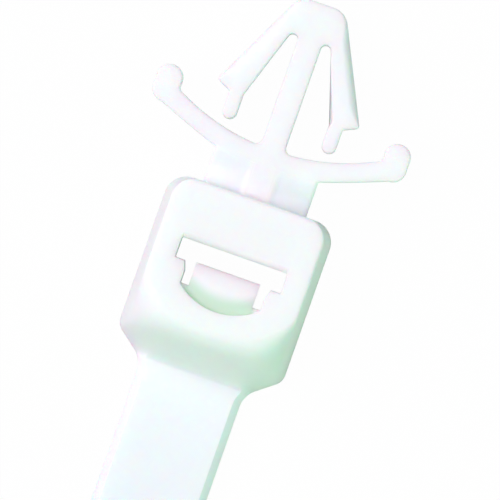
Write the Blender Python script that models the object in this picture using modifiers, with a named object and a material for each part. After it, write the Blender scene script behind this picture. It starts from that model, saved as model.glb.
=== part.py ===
"""A push mount cable tie: one moulding of natural polyamide 66.

The tie lies on its back. +X runs across the strap, +Y along it towards the arrowhead, and +Z up out of
the smooth side. The origin is under the middle of the whole length, on the plane that the tie rests on.
Shapes are laid out from the head's top edge, at y = 0, and an empty moves them to that origin.
"""

from math import acos, asin, atan, ceil, cos, pi, radians, sin, sqrt, tan

import bmesh
import bpy
import numpy as np
from mathutils import Matrix

MM = 0.001

# Strap
STRAP_WIDTH = 4.8 * MM
STRAP_THICKNESS = 1.1 * MM
STRAP_LENGTH = 190 * MM  # from the end of the shoulders to the tip
STRAP_TIP_TAPER = 24 * MM
STRAP_TIP_WIDTH = 2.6 * MM
FRONT_EDGE_RADIUS = 0.3 * MM
BACK_EDGE_CHAMFER = 0.15 * MM

# Teeth on the strap's back
TOOTH_PITCH = 1.25 * MM
TOOTH_DEPTH = 0.45 * MM
TOOTH_CREST = 0.12 * MM
TOOTH_BAND_MARGIN = 0.1 * MM  # the band is this much wider than the pawl on each side
TOOTH_FREE_START = 9 * MM  # plain strap between the shoulders and the first tooth

# Pawl
PAWL_WIDTH = 3.0 * MM
PAWL_REACH = 0.09 * MM  # the tip ridge stands this far into the strap's slot
PAWL_TIP_RECESS = 0.75 * MM  # the tip stands this far behind the head's front
PAWL_TIP_THICKNESS = 1.0 * MM
PAWL_TOOTH_CLEARANCE = 0.12 * MM  # a pawl tooth is this much shallower than a strap tooth
PAWL_RIDGE_FALL = 0.15  # drop of the ridge line for each unit of depth
PAWL_HINGE_THICKNESS = 0.6 * MM
PAWL_HINGE_LENGTH = 0.6 * MM

# Strap slot and pocket in the head
SLOT_BAR = 2.31 * MM  # solid front bar between the top edge and the slot
SLOT_LEAN = 0.3 * MM  # the slot drops this far from front to back
SLOT_SIDE_CLEARANCE = 0.035 * MM
SLOT_THICKNESS_CLEARANCE = 0.12 * MM
POCKET_SIDE_GAP = 0.36 * MM  # open slit on each side of the pawl
POCKET_SLIT = 1.01 * MM  # length of those slits below the slot
POCKET_SAG = 0.7 * MM  # the round bottom of the pocket reaches this much further
POCKET_FLOOR = 1.2 * MM  # material left behind the pocket

# Head
HEAD_DEPTH = 5.3 * MM
HEAD_CHEEK = 1.405 * MM  # wall on each side of the slot
HEAD_CORNER_RADIUS = 1.0 * MM
CHIN_WALL = 1.19 * MM  # front face between the pocket and the chin line, at the middle
CHIN_SIDE_RISE = 0.73 * MM  # the chin line lies this much higher at the sides
CHIN_RUN = 1.66 * MM  # along the strap, from the chin line down to the strap's front
SHOULDER_DROP = 0.42 * MM  # from the chin line to where the head's sides turn in
SHOULDER_RADIUS = 0.65 * MM
SHOULDER_ANGLE = radians(38)
ROOT_FILLET_RADIUS = 1.1 * MM

# Neck, a web between the head and the wings
NECK_WIDTH = 4.78 * MM
NECK_LENGTH = 1.6 * MM
NECK_MIDDLE_THICKNESS = 2.3 * MM
NECK_EDGE_THICKNESS = 1.0 * MM
NECK_INTO_HEAD = 0.9 * MM
NECK_INTO_WINGS = 0.35 * MM

# Push mount: rib, wings, stem and arrowhead share one outline and one depth
MOUNT_DEPTH = 3.6 * MM
MOUNT_EDGE = 0.14 * MM
STEM_WIDTH = 1.12 * MM
STEM_FILLET = 0.3 * MM
WING_SPAN = 11.78 * MM
WING_ROOT_RISE = 0.72 * MM  # from the neck's end up to the wings' top, at the stem
WING_UNDERSIDE_SLOPE = 0.335
WING_UNDERSIDE_BEND = 0.012 / MM
WING_ROOT_SLOPE = 0.1  # of the underside over the neck
WING_TOP_SLOPE = 0.034
WING_TOP_BEND = 0.058 / MM
KNOB_RADIUS = 0.6 * MM
KNOB_LENGTH = 0.53 * MM  # between the centres of its two rounds
KNOB_FILLET = 0.12 * MM
LEDGE_SPAN = 6.57 * MM  # across the barbs, for a panel hole of 6.35 mm
LEDGE_WIDTH = 0.635 * MM
LEDGE_ANGLE = radians(25)
LEDGE_RISE = 2.11 * MM  # from the wings' top at the stem up to the ledges' corners
ARROW_LENGTH = 4.64 * MM  # from the ledges' corners to the tip
TIP_WIDTH = 2.12 * MM  # where the legs' outer faces would meet the tip's flat
TIP_RADIUS = 0.9 * MM
TIP_SOLID = 1.69 * MM  # from the tip down to the gaps beside the stem
LEG_GAP_WIDTH = 0.42 * MM
LEG_TURN_DROP = 0.27 * MM  # from the ledges' corners to where a leg's inner face turns into its tail
TAIL_WIDTH = 0.68 * MM
TAIL_DROP = 1.51 * MM  # from the ledges' corners to the tails' ends

# Fineness of the mesh
ARC_STEP = radians(15)
ARC_TOLERANCE = 0.008 * MM
FRONT_COLUMNS = 13  # points across the front of each ring of the head and strap
WING_POINTS = 9
CUTTER_MARGIN = 1.0 * MM
WELD = 0.0001 * MM
SMOOTH_ANGLE = radians(35)

NYLON_COLOUR = (0.90, 0.93, 0.90, 1.0)
NYLON_ROUGHNESS = 0.45

# Sizes that follow from the ones above
STRAP_HALF = STRAP_WIDTH / 2
STEM_HALF = STEM_WIDTH / 2
SLOT_HALF = STRAP_HALF + SLOT_SIDE_CLEARANCE
SLOT_HEIGHT = STRAP_THICKNESS + SLOT_THICKNESS_CLEARANCE
SLOT_END = SLOT_BAR + SLOT_HEIGHT
HEAD_HALF = SLOT_HALF + HEAD_CHEEK
SLIT_END = SLOT_END + POCKET_SLIT
POCKET_HALF = PAWL_WIDTH / 2 + POCKET_SIDE_GAP
POCKET_END = SLIT_END + POCKET_SAG
CHIN_START = POCKET_END + CHIN_WALL
CHIN_FOOT = CHIN_START + CHIN_RUN
SHOULDER_START = CHIN_START + SHOULDER_DROP
MIDDLE_DEPTH = HEAD_DEPTH / 2
KNOB_X = WING_SPAN / 2 - KNOB_RADIUS
LEDGE_X = LEDGE_SPAN / 2
LEDGE_Y = NECK_LENGTH + WING_ROOT_RISE + LEDGE_RISE
TAIL_X = LEDGE_X - LEDGE_WIDTH
TIP_Y = LEDGE_Y + ARROW_LENGTH

# How an outline's plane and its depth lie in space, for each axis that it is extruded along
TURNS = {
    "X": Matrix(((0, 0, 1, 0), (1, 0, 0, 0), (0, 1, 0, 0), (0, 0, 0, 1))),
    "Y": Matrix(((1, 0, 0, 0), (0, 0, -1, 0), (0, 1, 0, 0), (0, 0, 0, 1))),
    "Z": Matrix.Identity(4),
}


def arc(cx, cy, radius, start, end):
    """Points on a circular arc from one angle to another, both ends included."""
    step = min(ARC_STEP, 2 * acos(1 - ARC_TOLERANCE / radius))
    steps = max(2, ceil(abs(end - start) / step))
    angles = np.linspace(start, end, steps + 1)
    return [(cx + radius * cos(a), cy + radius * sin(a)) for a in angles]


def shoulder_end():
    """Distance from the top edge to where the root fillet meets the strap's side."""
    radii = SHOULDER_RADIUS + ROOT_FILLET_RADIUS
    straight = HEAD_HALF - STRAP_HALF - radii * (1 - sin(SHOULDER_ANGLE))
    return SHOULDER_START + radii * cos(SHOULDER_ANGLE) + straight * tan(SHOULDER_ANGLE)


def chin_line(x):
    """Distance from the top edge to where the front turns down: a curve that rises towards the sides."""
    return CHIN_START - CHIN_SIDE_RISE * (x / HEAD_HALF) ** 2


def side_outline():
    """The right side of head and strap as (half width, distance below the top edge), from top to tip."""
    corner_x = HEAD_HALF - HEAD_CORNER_RADIUS
    corner = arc(corner_x, HEAD_CORNER_RADIUS, HEAD_CORNER_RADIUS, -pi / 2, 0)
    chin = [(HEAD_HALF, chin_line(HEAD_HALF))]
    shoulder_x = HEAD_HALF - SHOULDER_RADIUS
    turn = pi / 2 - SHOULDER_ANGLE
    shoulder = arc(shoulder_x, SHOULDER_START, SHOULDER_RADIUS, 0, turn)
    fillet_x = STRAP_HALF + ROOT_FILLET_RADIUS
    fillet = arc(fillet_x, shoulder_end(), ROOT_FILLET_RADIUS, pi + turn, pi)
    end = shoulder_end() + STRAP_LENGTH
    taper = [(STRAP_HALF, end - STRAP_TIP_TAPER)]
    tip_radius = STRAP_TIP_WIDTH / 2
    tip = arc(0, end - tip_radius, tip_radius, 0, radians(75))
    return corner + chin + shoulder + fillet + taper + tip


def end_inset(down, radius):
    """How far a face lies in from its plane this near to the head's top edge, which is rounded."""
    short = max(0, radius - down)
    return radius - sqrt(radius**2 - short**2)


def section(half, down):
    """One closed ring of head or strap: a flat back with chamfers and a front with rounded edges.

    The chin is a ruled slope from the curved chin line down to a straight foot on the strap's front, so
    rings bend with the chin line above it and grow straight towards the foot.
    """
    side_start = chin_line(half)
    fall = min(max((down - side_start) / (CHIN_FOOT - side_start), 0), 1)
    bend = 1 - fall
    if down < side_start:
        bend = max(0, (down - HEAD_CORNER_RADIUS) / (side_start - HEAD_CORNER_RADIUS))
    drop = (HEAD_DEPTH - STRAP_THICKNESS) * fall
    height = HEAD_DEPTH - drop - end_inset(down, FRONT_EDGE_RADIUS)
    low = end_inset(down, BACK_EDGE_CHAMFER)
    radius = min(FRONT_EDGE_RADIUS, 0.9 * half)
    inner = half - radius
    corner = arc(inner, height - radius, radius, 0, pi / 2)
    front = [(x, height) for x in np.linspace(inner, -inner, FRONT_COLUMNS)[1:-1]]
    left = [(-x, z) for x, z in reversed(corner)]
    flat = half - min(BACK_EDGE_CHAMFER, 0.9 * half)
    side = low + BACK_EDGE_CHAMFER
    back = [(-half, side), (-flat, low), (flat, low), (half, side)]
    ring = corner + front + left + back
    return [(x, -down - bend * (chin_line(x) - side_start), z) for x, z in ring]


def clean(mesh, weld=0):
    """Points the faces outwards, after welding loose caps and making each cap one face."""
    edit = bmesh.new()
    edit.from_mesh(mesh)
    if weld:
        bmesh.ops.remove_doubles(edit, verts=edit.verts, dist=weld)
        flat = radians(1)
        bmesh.ops.dissolve_limit(edit, angle_limit=flat, verts=edit.verts, edges=edit.edges)
    bmesh.ops.recalc_face_normals(edit, faces=edit.faces)
    edit.to_mesh(mesh)
    edit.free()


def head_and_strap(name, collection):
    """A loft of closed rings, from the head's top edge to the strap's tip."""
    rings = [section(half, down) for half, down in side_outline()]
    count = len(rings[0])
    vertices = [point for ring in rings for point in ring]
    last = len(vertices) - count
    faces = [tuple(range(count)), tuple(range(last + count - 1, last - 1, -1))]
    for near in range(0, last, count):
        for point in range(count):
            beside = (point + 1) % count
            faces.append((near + point, near + count + point, near + count + beside, near + beside))
    mesh = bpy.data.meshes.new(name)
    mesh.from_pydata(vertices, [], faces)
    clean(mesh)
    shape = bpy.data.objects.new(name, mesh)
    collection.objects.link(shape)
    return shape


def extruded(name, collection, outline, low, high, axis="Z"):
    """A flat outline extruded from low to high along an axis, as a closed mesh.

    The outline's pairs are (x, y) along Z, (y, z) along X and (x, z) along Y, where low and high count
    down the strap.
    """
    curve = bpy.data.curves.new(name, "CURVE")
    curve.dimensions = "2D"
    curve.fill_mode = "BOTH"
    curve.extrude = (high - low) / 2
    spline = curve.splines.new("POLY")
    spline.points.add(len(outline) - 1)
    for point, (u, v) in zip(spline.points, outline):
        point.co = (u, v, 0, 1)
    spline.use_cyclic_u = True
    flat = bpy.data.objects.new(name + "_outline", curve)
    collection.objects.link(flat)
    flat.matrix_world = TURNS[axis] @ Matrix.Translation((0, 0, (low + high) / 2))
    bpy.context.view_layer.update()
    evaluated = flat.evaluated_get(bpy.context.evaluated_depsgraph_get())
    mesh = bpy.data.meshes.new_from_object(evaluated)
    mesh.name = name
    clean(mesh, WELD)
    shape = bpy.data.objects.new(name, mesh)
    shape.matrix_world = flat.matrix_world
    collection.objects.link(shape)
    bpy.data.objects.remove(flat)
    return shape


def combine(shape, operation, other):
    """Unites the shape with another, cuts it or keeps what they share, and hides the other one."""
    boolean = shape.modifiers.new(other.name, "BOOLEAN")
    boolean.operation = operation
    boolean.solver = "EXACT"
    boolean.object = other
    other.hide_render = True
    other.display_type = "WIRE"


def wing_underside(x):
    out = x - NECK_WIDTH / 2
    if out < 0:
        return NECK_LENGTH + WING_ROOT_SLOPE * out
    return NECK_LENGTH + WING_UNDERSIDE_SLOPE * out + WING_UNDERSIDE_BEND * out**2


def wing_top(x):
    out = x - STEM_HALF
    rise = WING_TOP_SLOPE * out + WING_TOP_BEND * out**2
    return NECK_LENGTH + WING_ROOT_RISE + rise


def wing_outline():
    """The right wing from the rib out along its underside, round the knob and back to the stem."""
    outer = np.linspace(NECK_WIDTH / 2, KNOB_X - KNOB_RADIUS / 4, WING_POINTS)
    underside = [(x, wing_underside(x)) for x in [STEM_HALF, *outer]]
    knob_y = wing_underside(KNOB_X) + KNOB_RADIUS
    knob = arc(KNOB_X, knob_y, KNOB_RADIUS, -pi / 2, 0)
    knob += arc(KNOB_X, knob_y + KNOB_LENGTH, KNOB_RADIUS, 0, pi)
    corner_x = KNOB_X - KNOB_RADIUS - KNOB_FILLET
    slope = atan(WING_TOP_SLOPE + 2 * WING_TOP_BEND * (corner_x - STEM_HALF))
    corner_y = wing_top(corner_x) + KNOB_FILLET / cos(slope)
    corner = arc(corner_x, corner_y, KNOB_FILLET, 0, slope - pi / 2)
    stem_x = STEM_HALF + STEM_FILLET
    top = [(x, wing_top(x)) for x in np.linspace(corner_x - KNOB_FILLET, stem_x, WING_POINTS)]
    fillet = arc(stem_x, wing_top(stem_x) + STEM_FILLET, STEM_FILLET, -pi / 2, -pi)[1:]
    return underside + knob + corner + top + fillet


def leg_outline():
    """The right leg, from the gap's round top down its inner side, round tail and ledge, to the tip."""
    gap_radius = LEG_GAP_WIDTH / 2
    gap_y = TIP_Y - TIP_SOLID - gap_radius
    inner_x = TAIL_X - TAIL_WIDTH
    turn_y = LEDGE_Y - LEG_TURN_DROP
    lean = atan((inner_x - STEM_HALF - LEG_GAP_WIDTH) / (gap_y - turn_y))
    gap = arc(STEM_HALF + gap_radius, gap_y, gap_radius, pi, lean)
    tail_radius = TAIL_WIDTH / 2
    tail = arc(TAIL_X - tail_radius, LEDGE_Y - TAIL_DROP + tail_radius, tail_radius, pi, 2 * pi)
    ledge = [(TAIL_X, LEDGE_Y - LEDGE_WIDTH * tan(LEDGE_ANGLE)), (LEDGE_X, LEDGE_Y)]
    flare = atan((LEDGE_X - TIP_WIDTH / 2) / ARROW_LENGTH)
    round_y = TIP_Y - TIP_RADIUS
    round_x = TIP_WIDTH / 2 + TIP_RADIUS * (tan(flare) - 1 / cos(flare))
    tip = arc(round_x, round_y, TIP_RADIUS, flare, pi / 2)
    return gap + [(inner_x, turn_y)] + tail + ledge + tip


def push_mount(collection):
    """Rib, wings, stem and arrowhead: one closed outline, mirrored about the middle, with round edges."""
    right = [(STEM_HALF, -NECK_INTO_HEAD)] + wing_outline() + leg_outline()
    left = [(-x, y) for x, y in reversed(right)]
    near = MIDDLE_DEPTH - MOUNT_DEPTH / 2
    shape = extruded("push_mount", collection, right + left, near, near + MOUNT_DEPTH)
    bevel = shape.modifiers.new("rounded edges", "BEVEL")
    bevel.width = MOUNT_EDGE
    bevel.segments = 2
    bevel.limit_method = "ANGLE"
    bevel.angle_limit = radians(60)
    return shape


def neck(collection):
    """A web that thins from the rib to its edges, from inside the head to inside the wings."""
    half = NECK_WIDTH / 2
    thick = NECK_MIDDLE_THICKNESS / 2
    thin = NECK_EDGE_THICKNESS / 2
    ring = [(half, thin), (0, thick), (-half, thin), (-half, -thin), (0, -thick), (half, -thin)]
    outline = [(x, MIDDLE_DEPTH + z) for x, z in ring]
    top = NECK_LENGTH + NECK_INTO_WINGS
    return extruded("neck", collection, outline, -top, NECK_INTO_HEAD, "Y")


def slot_cutter(collection):
    """The strap's way through the head, which leans down towards the back."""
    lean = SLOT_LEAN / HEAD_DEPTH
    front_z = HEAD_DEPTH + CUTTER_MARGIN
    front = -SLOT_BAR + lean * CUTTER_MARGIN
    back = front - lean * (front_z + CUTTER_MARGIN)
    outline = [
        (front, front_z),
        (back, -CUTTER_MARGIN),
        (back - SLOT_HEIGHT, -CUTTER_MARGIN),
        (front - SLOT_HEIGHT, front_z),
    ]
    return extruded("strap_slot", collection, outline, -SLOT_HALF, SLOT_HALF, "X")


def pocket_cutter(collection):
    """The pawl's pocket: a round-bottomed plan, open at the back only as far as the slits reach."""
    radius = (POCKET_HALF**2 + POCKET_SAG**2) / (2 * POCKET_SAG)
    spread = asin(POCKET_HALF / radius)
    top = -SLOT_BAR - SLOT_LEAN - SLOT_HEIGHT / 2
    bottom = arc(0, radius - POCKET_END, radius, -pi / 2 - spread, -pi / 2 + spread)
    plan = [(POCKET_HALF, top), (-POCKET_HALF, top)] + bottom
    front = HEAD_DEPTH + CUTTER_MARGIN
    shape = extruded("pocket", collection, plan, -CUTTER_MARGIN, front)
    above = top + CUTTER_MARGIN
    below = -POCKET_END - CUTTER_MARGIN
    profile = [
        (above, front + CUTTER_MARGIN),
        (below, front + CUTTER_MARGIN),
        (below, POCKET_FLOOR),
        (-SLIT_END, POCKET_FLOOR),
        (-SLIT_END, -2 * CUTTER_MARGIN),
        (above, -2 * CUTTER_MARGIN),
    ]
    side = extruded("pocket_side", collection, profile, -HEAD_HALF, HEAD_HALF, "X")
    combine(shape, "INTERSECT", side)
    return shape


def pawl(collection):
    """A toothed tongue, from its hinge behind the pocket up and forward to its tip."""
    tip_y = -SLOT_END + PAWL_REACH
    tip_z = HEAD_DEPTH - PAWL_TIP_RECESS
    tooth_depth = TOOTH_DEPTH - PAWL_TOOTH_CLEARANCE
    room = tip_z - POCKET_FLOOR - PAWL_HINGE_LENGTH
    upper = [(tip_y, tip_z)]
    for tooth in range(1, int(room / TOOTH_PITCH) + 1):
        ridge_z = tip_z - tooth * TOOTH_PITCH
        ridge_y = tip_y - PAWL_RIDGE_FALL * tooth * TOOTH_PITCH
        upper += [(ridge_y - tooth_depth, ridge_z + tooth_depth / 4), (ridge_y, ridge_z)]
    hinge = -SLIT_END + PAWL_HINGE_THICKNESS / 4
    behind = hinge - PAWL_HINGE_THICKNESS
    root = [
        (hinge, POCKET_FLOOR),
        (hinge, POCKET_FLOOR / 3),
        (behind, POCKET_FLOOR / 3),
        (behind, POCKET_FLOOR + PAWL_HINGE_LENGTH / 2),
    ]
    foot = [(tip_y - PAWL_TIP_THICKNESS, tip_z - PAWL_TIP_THICKNESS / 10)]
    half = PAWL_WIDTH / 2
    return extruded("pawl", collection, upper + root + foot, -half, half, "X")


def tooth_cutter(collection):
    """A saw-toothed comb: each valley is deepest at the next tooth's steep face, which looks to the head."""
    start = shoulder_end() + TOOTH_FREE_START
    end = shoulder_end() + STRAP_LENGTH - STRAP_TIP_TAPER
    count = int((end - start) / TOOTH_PITCH)
    overhang = TOOTH_CREST * TOOTH_DEPTH / (TOOTH_PITCH - TOOTH_CREST)
    comb = [(-start, -CUTTER_MARGIN)]
    for tooth in range(count):
        y = -start - tooth * TOOTH_PITCH
        comb += [(y, -overhang), (y - TOOTH_PITCH, TOOTH_DEPTH)]
    comb.append((-start - count * TOOTH_PITCH, -CUTTER_MARGIN))
    half = PAWL_WIDTH / 2 + TOOTH_BAND_MARGIN
    return extruded("tooth_valleys", collection, comb, -half, half, "X")


def smooth_by_angle(shape):
    """Shades the finished surface smooth, except across its sharp edges, with a last modifier."""
    group = bpy.data.node_groups.new("smooth by angle", "GeometryNodeTree")
    group.interface.new_socket("Geometry", in_out="INPUT", socket_type="NodeSocketGeometry")
    group.interface.new_socket("Geometry", in_out="OUTPUT", socket_type="NodeSocketGeometry")
    surface = group.nodes.new("NodeGroupInput").outputs[0]
    angle = group.nodes.new("GeometryNodeInputMeshEdgeAngle")
    gentle = group.nodes.new("FunctionNodeCompare")
    gentle.operation = "LESS_EQUAL"
    gentle.inputs["B"].default_value = SMOOTH_ANGLE
    group.links.new(angle.outputs["Unsigned Angle"], gentle.inputs["A"])
    for domain in ("FACE", "EDGE"):
        shade = group.nodes.new("GeometryNodeSetShadeSmooth")
        shade.domain = domain
        group.links.new(surface, shade.inputs["Geometry"])
        surface = shade.outputs["Geometry"]
    group.links.new(gentle.outputs["Result"], shade.inputs["Shade Smooth"])
    group.links.new(surface, group.nodes.new("NodeGroupOutput").inputs[0])
    shape.modifiers.new("smooth by angle", "NODES").node_group = group


def nylon():
    material = bpy.data.materials.new("natural nylon")
    material.use_nodes = True
    shader = material.node_tree.nodes["Principled BSDF"]
    shader.inputs["Base Color"].default_value = NYLON_COLOUR
    shader.inputs["Roughness"].default_value = NYLON_ROUGHNESS
    shader.inputs["Metallic"].default_value = 0.0
    return material


def new_collection(name):
    collection = bpy.data.collections.new(name)
    bpy.context.scene.collection.children.link(collection)
    return collection


def main():
    for old in list(bpy.data.objects):
        bpy.data.objects.remove(old)
    parts = new_collection("push_mount_cable_tie")
    helpers = new_collection("cutters")
    tie = head_and_strap("cable_tie", parts)
    combine(tie, "DIFFERENCE", slot_cutter(helpers))
    combine(tie, "DIFFERENCE", pocket_cutter(helpers))
    combine(tie, "DIFFERENCE", tooth_cutter(helpers))
    combine(tie, "UNION", pawl(helpers))
    combine(tie, "UNION", neck(helpers))
    combine(tie, "UNION", push_mount(helpers))
    smooth_by_angle(tie)
    tie.data.materials.append(nylon())
    head_edge = bpy.data.objects.new("head_top_edge", None)
    parts.objects.link(head_edge)
    for shape in [tie, *helpers.objects]:
        shape.parent = head_edge
    head_edge.location.y = (shoulder_end() + STRAP_LENGTH - TIP_Y) / 2


main()
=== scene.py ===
"""Fine surface, nylon and studio for a push mount cable tie.

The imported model's box gives the tie's place. The tie is one moulding, so it is one piece here too. Its
regions are surfaces worked out with numpy: head and strap are rings along the tie, the push mount and the
openings are outlines carried through the depth, the pawl is a profile carried across, and the neck's web is
a height over its plan. Booleans join and cut them. Lengths are in metres. Regions are laid out from the
head's top edge, x across, y towards the arrowhead and z from the back to the front.
"""

import math

import bmesh
import bpy
import numpy as np
from bpy.props import FloatProperty, FloatVectorProperty, PointerProperty
from bpy.types import Operator, Panel, PropertyGroup
from mathutils import Matrix, Vector


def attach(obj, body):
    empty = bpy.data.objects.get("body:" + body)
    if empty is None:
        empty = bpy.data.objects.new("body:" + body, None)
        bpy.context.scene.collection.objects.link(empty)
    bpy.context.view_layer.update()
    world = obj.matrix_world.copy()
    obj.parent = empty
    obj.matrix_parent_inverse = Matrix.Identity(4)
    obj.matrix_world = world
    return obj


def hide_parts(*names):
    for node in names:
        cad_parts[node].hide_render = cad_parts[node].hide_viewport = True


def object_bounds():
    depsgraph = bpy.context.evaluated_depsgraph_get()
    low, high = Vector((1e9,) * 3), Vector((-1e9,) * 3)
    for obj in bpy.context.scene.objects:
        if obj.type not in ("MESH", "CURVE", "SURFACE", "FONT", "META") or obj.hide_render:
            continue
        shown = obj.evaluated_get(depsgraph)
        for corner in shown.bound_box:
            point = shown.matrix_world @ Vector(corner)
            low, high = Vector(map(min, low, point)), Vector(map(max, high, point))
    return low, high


bl_info = {
    "name": "Push mount cable tie",
    "version": (1, 0, 0),
    "blender": (4, 5, 0),
    "location": "3D View > Sidebar > Cable tie",
    "description": "Builds a nylon cable tie with a winged push mount, and a studio to show it in",
    "category": "Object",
}

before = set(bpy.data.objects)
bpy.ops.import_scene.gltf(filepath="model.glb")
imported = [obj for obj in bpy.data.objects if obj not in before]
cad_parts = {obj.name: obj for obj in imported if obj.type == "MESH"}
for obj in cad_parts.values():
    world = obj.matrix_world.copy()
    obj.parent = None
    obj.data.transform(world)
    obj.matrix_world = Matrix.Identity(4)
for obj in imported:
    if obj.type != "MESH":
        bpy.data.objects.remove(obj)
CAD_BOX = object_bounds()

MM = 0.001
QUARTER = math.pi / 2

# The head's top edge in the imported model's frame: the arrowhead's tip stands this far above it
ARROW_REACH = 9.07 * MM
HEAD_EDGE_Y = CAD_BOX[1].y - ARROW_REACH

# Head and chin, with places as distances down from the top edge
HEAD_CORNER = 1.0 * MM  # radius of the two top corners
SHOULDER_TURN = 6.85 * MM  # where the straight sides end
SHOULDER_RADIUS = 0.65 * MM
SHOULDER_ANGLE = math.radians(38)
ROOT_FILLET = 1.1 * MM  # from the shoulders' slope to the strap
CHIN_BOW = 1.0 * MM  # how much higher the chin starts at the sides than in the middle
CHIN_FULL = 7.1 * MM  # where its slope is full
CHIN_FADE = 7.75 * MM  # where it starts to flatten out
CHIN_FOOT = 8.19 * MM  # where it has reached the strap
CHEEK_ROUND = 2.0 * MM  # rounding that the front edges gain beside the chin
CHEEK_START = 4.2 * MM
CHEEK_GROWTH = 2.7 * MM
CHEEK_END = 8.29 * MM
CHEEK_FADE = 1.2 * MM
HEAD_END = 8.49 * MM  # where the head's draft and edges have turned into the strap's
HEAD_FADE = 1.6 * MM
BACK_ROUND = 0.13 * MM  # radius of the back's edges

# Strap
STRAP_LENGTH = 190 * MM  # from the root fillets' end to the tip
TAPER_LENGTH = 24 * MM
TIP_WIDTH = 2.6 * MM
BEVEL_DEPTH = 0.3 * MM
TOOTH_START = 9.0 * MM  # below the root fillets' end
TOOTH_BAND = 1.6 * MM  # half the toothed width
TOOTH_WALL = 0.04 * MM  # draft of a tooth's steep face and of the band's walls
VALLEY_SHARE = 0.9  # share of the pitch that a valley takes

# Window
SLOT_TOP = 2.31 * MM
SLOT_LEAN = 0.3 * MM  # how much lower the slot's upper edge lies inside
SLOT_HEIGHT = 1.22 * MM
SLOT_HALF = 2.435 * MM
SLIT_END = 4.54 * MM
SLIT_INSET = 0.01 * MM  # keeps the slits' walls off the pocket's
SLIT_OVERLAP = 0.24 * MM  # how far the slits reach into the pocket
EAR_WIDTH = 0.15 * MM  # the slits are wider by this beside the slot
EAR_DEPTH = 0.42 * MM
CORNER_ROUND = 0.06 * MM
POCKET_HALF = 1.86 * MM
POCKET_END = 5.24 * MM
POCKET_FLOOR = 5.02 * MM  # height of its floor
LEAD_DEPTH = 0.13 * MM
CUT_MARGIN = 0.6 * MM  # how far cutters stand out of the head

# Pawl
PAWL_HALF = 1.48 * MM
PAWL_TIP = 3.45 * MM
PAWL_FACE = 5.12 * MM  # height of its front face
PAWL_EDGE = 0.06 * MM  # radius of its tip's front edge
PAWL_FOOT = -4.22 * MM  # where the front face ends
PAWL_SAG = 0.42 * MM  # how much lower its foot reaches in the middle than at the sides
RIDGE_GAP = 0.12 * MM  # how much lower its ridges are than the teeth
RIDGE_LEAN = 0.15  # step down from ridge to ridge, as a share of the pitch

# Neck and wings
STEM_HALF = 0.56 * MM
NECK_HALF = 2.39 * MM
NECK_LENGTH = 1.6 * MM
RIB_START = -0.9 * MM  # inside the head
WEB_START = -0.6 * MM  # inside the head
WEB_END = 2.05 * MM  # inside the wings
WEB_GAP = 0.004 * MM  # keeps the web's faces off the rib's
WEB_STEP = 0.06 * MM  # fall beside the rib
WEB_STEP_WIDTH = 0.32 * MM
WEB_STEP_LAP = 0.04 * MM  # how far inside the rib it starts
WEB_FALL = 0.24 * MM  # further fall to its edges
WEB_RISE_START = 0.7 * MM
WEB_RISE = 0.85 * MM
WEB_ROUND = 0.2 * MM  # width of its edges' rounding
WEB_ROUND_DEPTH = 0.08 * MM
WING_ROOT = 2.32 * MM
UNDER_NECK = 0.1  # slopes and curves of the wings' lines
UNDER_SLOPE = 0.335
UNDER_CURVE = 0.012 / MM
TOP_SLOPE = 0.034
TOP_CURVE = 0.058 / MM
KNOB_RADIUS = 0.6 * MM
KNOB_LENGTH = 0.53 * MM
KNOB_FILLET = 0.2 * MM
TOP_STEP = 0.05 * MM  # from that fillet's end to the next point
STEM_FILLET = 0.3 * MM

# Arrowhead
LEDGE_Y = 4.43 * MM
LEDGE_SLOPE = math.radians(25)
BARB_ROUND = 0.15 * MM
BARB_CUT = 0.04 * MM  # what the rounding takes off each barb's corner
TAIL_X = 2.65 * MM
TAIL_WIDTH = 0.68 * MM
TAIL_END = 2.92 * MM
GAP_WIDTH = 0.42 * MM
GAP_TOP = 7.38 * MM
LEG_TURN = 4.16 * MM
TIP_HALF = 1.06 * MM
TIP_ROUND = 0.9 * MM
OUTER_BAND = 0.3 * MM  # what lies this near the legs' outer slope belongs to it
LEG_ROUND_DEPTH = 0.5 * MM  # the legs' larger rounding, which fades in from its top and its low end
LEG_ROUND_TOP = ARROW_REACH - 0.1 * MM
LEG_ROUND_TOP_FADE = 1.2 * MM
LEG_ROUND_LOW = LEDGE_Y + 0.15 * MM
LEG_ROUND_LOW_FADE = 0.6 * MM
LEG_LEAN = 0.13 * MM  # how far the right leg's inner side leans at the front, in its lower part
LEG_LEAN_TOP = 6.7 * MM
LEG_LEAN_FADE = 2.3 * MM
MOUNT_DRAFT = 0.01  # inset of the mount's walls per depth, from its middle plane

# Nylon
SHARP_ANGLE = math.radians(32)  # the skin is smooth across gentler edges than this
SKIN_DEPTH = 0.02 * MM
CLOUD_SIZE = 3 * MM
CLOUD_SHADE = 0.985
ROUGH_SPREAD = 0.04
NYLON_IOR = 1.53

# Camera, in the tie's plane: the photograph's middle, its frame's side and the tie's lean
AIM = Vector((0.544 * MM, -2.17 * MM))
AIM_HEIGHT = 2.65 * MM
FRAME_SIDE = 21.93 * MM
LEAN = math.radians(19.45)
VIEW_TURN = math.radians(0.1)  # the camera stands this far to the tie's right
CAMERA_DISTANCE = 1.0
SENSOR_WIDTH = 36

# Lamps' places from the aim, to the photograph's right, up and towards the camera, and their sides
KEY_PLACE = (-0.27, 0.14, 0.50)
KEY_SIDE = 0.5
FILL_PLACE = (0.24, -0.38, 0.11)
FILL_SIDE = 0.2

# Floor
PAPER_HALF = 1.5
PAPER_GAP = 0.02 * MM
PAPER_GLOW = 0.985  # share of its look to the camera that is its own light

# Settings that the properties below share
LENGTH = {"unit": "LENGTH", "precision": 5}
COLOUR = {"subtype": "COLOR", "size": 3, "min": 0, "max": 1}


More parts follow.
